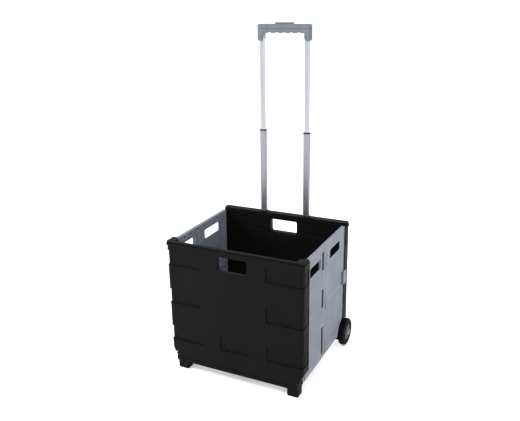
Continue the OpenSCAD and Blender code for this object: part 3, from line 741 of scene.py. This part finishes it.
def moulded_plastic(name, colour, worn, dusty, grain_mm, grain_depth_mm, rough, specular, rubbed_and_highlight=0.0):
    """Polypropylene or ABS from a spark-eroded mould: matt grain, soft flow marks, scuffs, and polished, lighter
    patches on edges that are partly worn and partly a painted highlight.
    """
    material, tree, shader, place = new_finish(name)
    # Flow marks from the mould, about 60 mm across
    flow = node_in(tree, "ShaderNodeTexNoise", {"Vector": place, "Scale": 1 / (60 * MM), "Detail": 3.0})
    # Grain of the mould
    grain = node_in(tree, "ShaderNodeTexVoronoi", {"Vector": place, "Scale": 1 / (grain_mm * MM)})
    fine = node_in(tree, "ShaderNodeTexNoise", {"Vector": place, "Scale": 1.6 / (grain_mm * MM), "Detail": 2.0})
    # Scuffs: thin strokes along the panel, 40 mm long and under 1 mm high
    turned = {"Vector": place, "Rotation": (0.0, 0.35, 0.2), "Scale": (25, 25, 900)}
    long_way = node_in(tree, "ShaderNodeMapping", turned)
    strokes = node_in(tree, "ShaderNodeTexNoise", {"Vector": long_way.outputs[0], "Scale": 1.0, "Detail": 2.0})
    patches = node_in(tree, "ShaderNodeTexNoise", {"Vector": place, "Scale": 1 / (90 * MM), "Detail": 1.0})
    few = ramp(tree, patches.outputs["Fac"], 0.52, 0.68)
    lines = ramp(tree, strokes.outputs["Fac"], 0.62, 0.72)
    scuff = node_in(tree, "ShaderNodeMath", {0: few, 1: lines}, operation="MULTIPLY").outputs[0]
    # Lighter, smoother places on an edge, none on a face: broken patches, partly worn plastic and partly a painted
    # highlight along the edge
    wear_and_highlight = ramp(tree, fine.outputs["Fac"], 0.35, 0.6, 0, rubbed_and_highlight)
    base = blend(tree, ramp(tree, flow.outputs["Fac"], 0.3, 0.7), linear(colour), linear(dusty))
    base = blend(tree, ramp(tree, scuff, 0, 1, 0, 0.5), base, linear(worn))
    base = blend(tree, ramp(tree, wear_and_highlight, 0, 1, 0, 0.8), base, linear(worn))
    tree.links.new(base, shader.inputs["Base Color"])
    mottle = ramp(tree, flow.outputs["Fac"], 0.3, 0.7, rough - 0.05, rough + 0.05)
    polish = ramp(tree, wear_and_highlight, 0, 1, 0, -0.15)
    matt = node_in(tree, "ShaderNodeMath", {0: mottle, 1: polish}, operation="ADD").outputs[0]
    tree.links.new(matt, shader.inputs["Roughness"])
    heights = {0: grain.outputs["Distance"], 1: fine.outputs["Fac"]}
    relief = node_in(tree, "ShaderNodeMath", heights, operation="ADD").outputs[0]
    bump = node_in(tree, "ShaderNodeBump", {"Height": relief, "Strength": 0.5, "Distance": grain_depth_mm * MM})
    tree.links.new(bump.outputs["Normal"], shader.inputs["Normal"])
    shader.inputs["Specular IOR Level"].default_value = specular
    shader.inputs["IOR"].default_value = 1.49
    return material


def drawn_metal(name, colour, dull, rough, line_mm, metallic=1.0):
    """Metal drawn or turned along its length, so fine lines run up it; anodising leaves it satin."""
    material, tree, shader, place = new_finish(name)
    across = 1 / (line_mm * MM)
    along = node_in(tree, "ShaderNodeMapping", {"Vector": place, "Scale": (across, across, 3.0)})
    lines = node_in(tree, "ShaderNodeTexNoise", {"Vector": along.outputs[0], "Scale": 1.0, "Detail": 3.0})
    cloud = node_in(tree, "ShaderNodeTexNoise", {"Vector": place, "Scale": 1 / (45 * MM), "Detail": 3.0})
    base = blend(tree, ramp(tree, lines.outputs["Fac"], 0.35, 0.7, 0, 0.55), linear(colour), linear(dull))
    tree.links.new(base, shader.inputs["Base Color"])
    satin = ramp(tree, cloud.outputs["Fac"], 0.3, 0.7, rough - 0.05, rough + 0.06)
    tree.links.new(satin, shader.inputs["Roughness"])
    groove = {"Height": lines.outputs["Fac"], "Strength": 0.25, "Distance": 0.04 * MM}
    bump = node_in(tree, "ShaderNodeBump", groove)
    tree.links.new(bump.outputs["Normal"], shader.inputs["Normal"])
    shader.inputs["Metallic"].default_value = metallic
    return material


def moulded_rubber(name, colour, dusty):
    """Black tyre rubber: matt, slightly dusty in patches, with a fine grit in its surface."""
    material, tree, shader, place = new_finish(name)
    dust = node_in(tree, "ShaderNodeTexNoise", {"Vector": place, "Scale": 1 / (9 * MM), "Detail": 4.0})
    grit = node_in(tree, "ShaderNodeTexNoise", {"Vector": place, "Scale": 1 / (1.2 * MM), "Detail": 2.0})
    base = blend(tree, ramp(tree, dust.outputs["Fac"], 0.45, 0.75, 0, 0.6), linear(colour), linear(dusty))
    tree.links.new(base, shader.inputs["Base Color"])
    tree.links.new(ramp(tree, dust.outputs["Fac"], 0.3, 0.7, 0.6, 0.8), shader.inputs["Roughness"])
    bump = node_in(tree, "ShaderNodeBump", {"Height": grit.outputs["Fac"], "Strength": 0.5, "Distance": 0.12 * MM})
    tree.links.new(bump.outputs["Normal"], shader.inputs["Normal"])
    shader.inputs["Specular IOR Level"].default_value = 0.08
    return material


class TROLLEY_OT_finishes(bpy.types.Operator):
    """Gives every part and every new piece its finish"""

    bl_idname = "trolley.finishes"
    bl_label = "Finishes"

    def execute(self, context):
        tone = sizes("colours")
        # The mould grain is 0.4 mm on the real thing and is drawn at 1.5 to 2 mm so that it shows
        finish = {
            "black_shell": moulded_plastic(
                "Moulded black polypropylene", tone.black, "#222223", "#0a0a0b", 1.6, 0.03, 0.55, 0.06
            ),
            "grey_panel": moulded_plastic(
                "Moulded blue-grey polypropylene", tone.grey, "#7d838d", "#616772", 1.8, 0.05, 0.5, 0.3
            ),
            "handle_grey": moulded_plastic(
                "Moulded grey ABS", tone.grip, "#6f757a", "#565c62", 1.5, 0.05, 0.45, 0.3
            ),
            "black_trim": moulded_plastic(
                "Moulded black nylon", "#0e0e0f", "#262627", "#131314", 1.5, 0.05, 0.45, 0.2
            ),
            "hub": moulded_plastic(
                "Moulded hub polypropylene", tone.hub, "#84858a", "#626368", 1.5, 0.05, 0.45, 0.3
            ),
            "bush": moulded_plastic("Natural nylon", "#d9d6cc", "#e6e4dd", "#cfccc2", 1.5, 0.05, 0.5, 0.4),
            "tube": drawn_metal("Drawn anodised aluminium", tone.tube, "#8f9096", 0.34, 0.6),
            "steel": drawn_metal("Zinc-plated steel", "#8f9094", "#76777c", 0.36, 0.4),
            "tyre": moulded_rubber("Moulded tyre rubber", tone.rubber, "#0a0a0a"),
            "pad": moulded_rubber("Moulded foot rubber", "#050505", "#0c0c0c"),
        }
        # The middle tubes are anodised a darker grey than the upper ones
        dark_tube = drawn_metal("Drawn aluminium anodised grey", "#8f9096", "#77787e", 0.36, 0.6)
        # Rounded edges get a lighter, smoother copy of the face's material: its lighter colour is a painted
        # highlight along each edge, and it carries worn patches as well
        edge = {
            "black_shell": moulded_plastic(
                "Rubbed edge of black polypropylene", "#141415", "#2b2b2b", "#19191a", 1.6, 0.02, 0.36, 0.3, 0.7
            ),
            "grey_panel": moulded_plastic(
                "Rubbed edge of blue-grey polypropylene", "#858a94", "#a4a8b0", "#7b808a",
                1.8, 0.02, 0.42, 0.4, 0.6,
            ),
            "handle_grey": moulded_plastic(
                "Rubbed edge of grey ABS", "#5f656b", "#777d82", "#596066", 1.5, 0.03, 0.38, 0.4, 0.5
            ),
        }
        new_pieces = {
            "Tyre_": "tyre",
            "Hub_": "hub",
            "Handle_": "handle_grey",
            "Grip_rings_": "handle_grey",
            "Catch_pins_": "black_trim",
            # The combs are black trim, a painted shade in the hinge slots
            "Hinge_comb_": "black_trim",
        }
        for name, obj in frame["nodes"].items():
            slot = NODE_SLOT[name]
            face = dark_tube if name.startswith("middle_tube") else finish[slot]
            obj.data.materials.clear()
            obj.data.materials.append(face)
            # The second slot, for the bevel's faces, is the lighter edge material: a painted highlight along the
            # edges
            obj.data.materials.append(edge.get(slot, face))
        for obj in bpy.data.objects:
            for start, slot in new_pieces.items():
                if obj.name.startswith(start):
                    obj.data.materials.clear()
                    obj.data.materials.append(finish[slot])
        return {"FINISHED"}


# ---- Studio ----


class TROLLEY_OT_studio(bpy.types.Operator):
    """A pale floor, even light with one large soft light on the left, and the camera"""

    bl_idname = "trolley.studio"
    bl_label = "Studio"

    def execute(self, context):
        studio = sizes("studio")
        scene = context.scene
        clear_selection()
        bpy.ops.mesh.primitive_plane_add(size=studio.floor_size, location=(0, 0, -0.2 * MM))
        floor = context.object
        floor.name = "Studio_floor"
        material, tree, shader, place = new_finish("Matt white studio floor")
        cloud = node_in(tree, "ShaderNodeTexNoise", {"Vector": place, "Scale": 0.8, "Detail": 2.0})
        shade = ramp(tree, cloud.outputs["Fac"], 0.3, 0.7)
        base = blend(tree, shade, linear(sizes("colours").floor), linear("#f6f6f6"))
        tree.links.new(base, shader.inputs["Base Color"])
        # Lit from below as well, as on a product table
        shader.inputs["Emission Color"].default_value = (1.0, 1.0, 1.0, 1.0)
        shader.inputs["Emission Strength"].default_value = 0.22
        shader.inputs["Roughness"].default_value = 0.9
        shader.inputs["Specular IOR Level"].default_value = 0.1
        floor.data.materials.append(material)

        world = bpy.data.worlds.new("Studio sky")
        scene.world = world
        world.use_nodes = True
        sky = world.node_tree.nodes["Background"]
        sky.inputs["Color"].default_value = (1.0, 1.0, 1.0, 1.0)
        sky.inputs["Strength"].default_value = studio.fill

        low, high = (Vector(corner) for corner in CAD_BOX)
        middle = (low + high) / 2
        for name, spot, side, share in LIGHTS:
            place = Vector(spot)
            clear_selection()
            bpy.ops.object.light_add(type="AREA", location=place)
            lamp = context.object
            lamp.name = name
            lamp.data.size = side
            lamp.data.energy = studio.key * share
            lamp.rotation_euler = (middle - place).to_track_quat("-Z", "Y").to_euler()

        clear_selection()
        yaw, pitch, roll = studio.yaw, studio.pitch, studio.roll
        ahead = Vector((-math.sin(yaw) * math.cos(pitch), math.cos(yaw) * math.cos(pitch), -math.sin(pitch)))
        across = Vector((math.cos(yaw), math.sin(yaw), 0))
        above = across.cross(ahead)
        right = across * math.cos(roll) + above * math.sin(roll)
        up = above * math.cos(roll) - across * math.sin(roll)
        turn = Matrix((right, up, -ahead)).transposed()
        bpy.ops.object.camera_add(location=studio.eye, rotation=turn.to_euler())
        camera = context.object
        camera.data.sensor_width = 36
        camera.data.lens = studio.lens
        camera.data.clip_end = 100
        scene.camera = camera
        scene.view_settings.view_transform = "Standard"
        return {"FINISHED"}


# ---- Panel and registration ----

OPERATORS = (
    TROLLEY_OT_tyres,
    TROLLEY_OT_hubs,
    TROLLEY_OT_grip,
    TROLLEY_OT_catches,
    TROLLEY_OT_edges,
    TROLLEY_OT_finishes,
    TROLLEY_OT_studio,
)
GROUPS = {
    "wheels": TrolleyWheelSizes,
    "grip": TrolleyGripSizes,
    "details": TrolleyDetailSizes,
    "edges": TrolleyEdgeSizes,
    "colours": TrolleyColours,
    "studio": TrolleyStudio,
}


class TROLLEY_PT_panel(bpy.types.Panel):
    """Lists the trolley's sizes, colours and operators"""

    bl_idname = "TROLLEY_PT_panel"
    bl_label = "Shopping Trolley"
    bl_space_type = "VIEW_3D"
    bl_region_type = "UI"
    bl_category = "Trolley"

    def draw(self, context):
        for group in GROUPS:
            box = self.layout.box()
            box.label(text=group.capitalize())
            for key in GROUPS[group].__annotations__:
                box.prop(sizes(group), key)
        for one in OPERATORS:
            self.layout.operator(one.bl_idname)


def register():
    for one in (*GROUPS.values(), *OPERATORS, TROLLEY_PT_panel):
        bpy.utils.register_class(one)
    for key, group in GROUPS.items():
        setattr(bpy.types.Scene, "trolley_" + key, bpy.props.PointerProperty(type=group))


def unregister():
    for key in GROUPS:
        delattr(bpy.types.Scene, "trolley_" + key)
    for one in reversed((*GROUPS.values(), *OPERATORS, TROLLEY_PT_panel)):
        bpy.utils.unregister_class(one)


def main():
    """Builds the looks in order."""
    register()
    for one in OPERATORS:
        group, name = one.bl_idname.split(".")
        getattr(getattr(bpy.ops, group), name)()


if __name__ == "__main__":
    main()
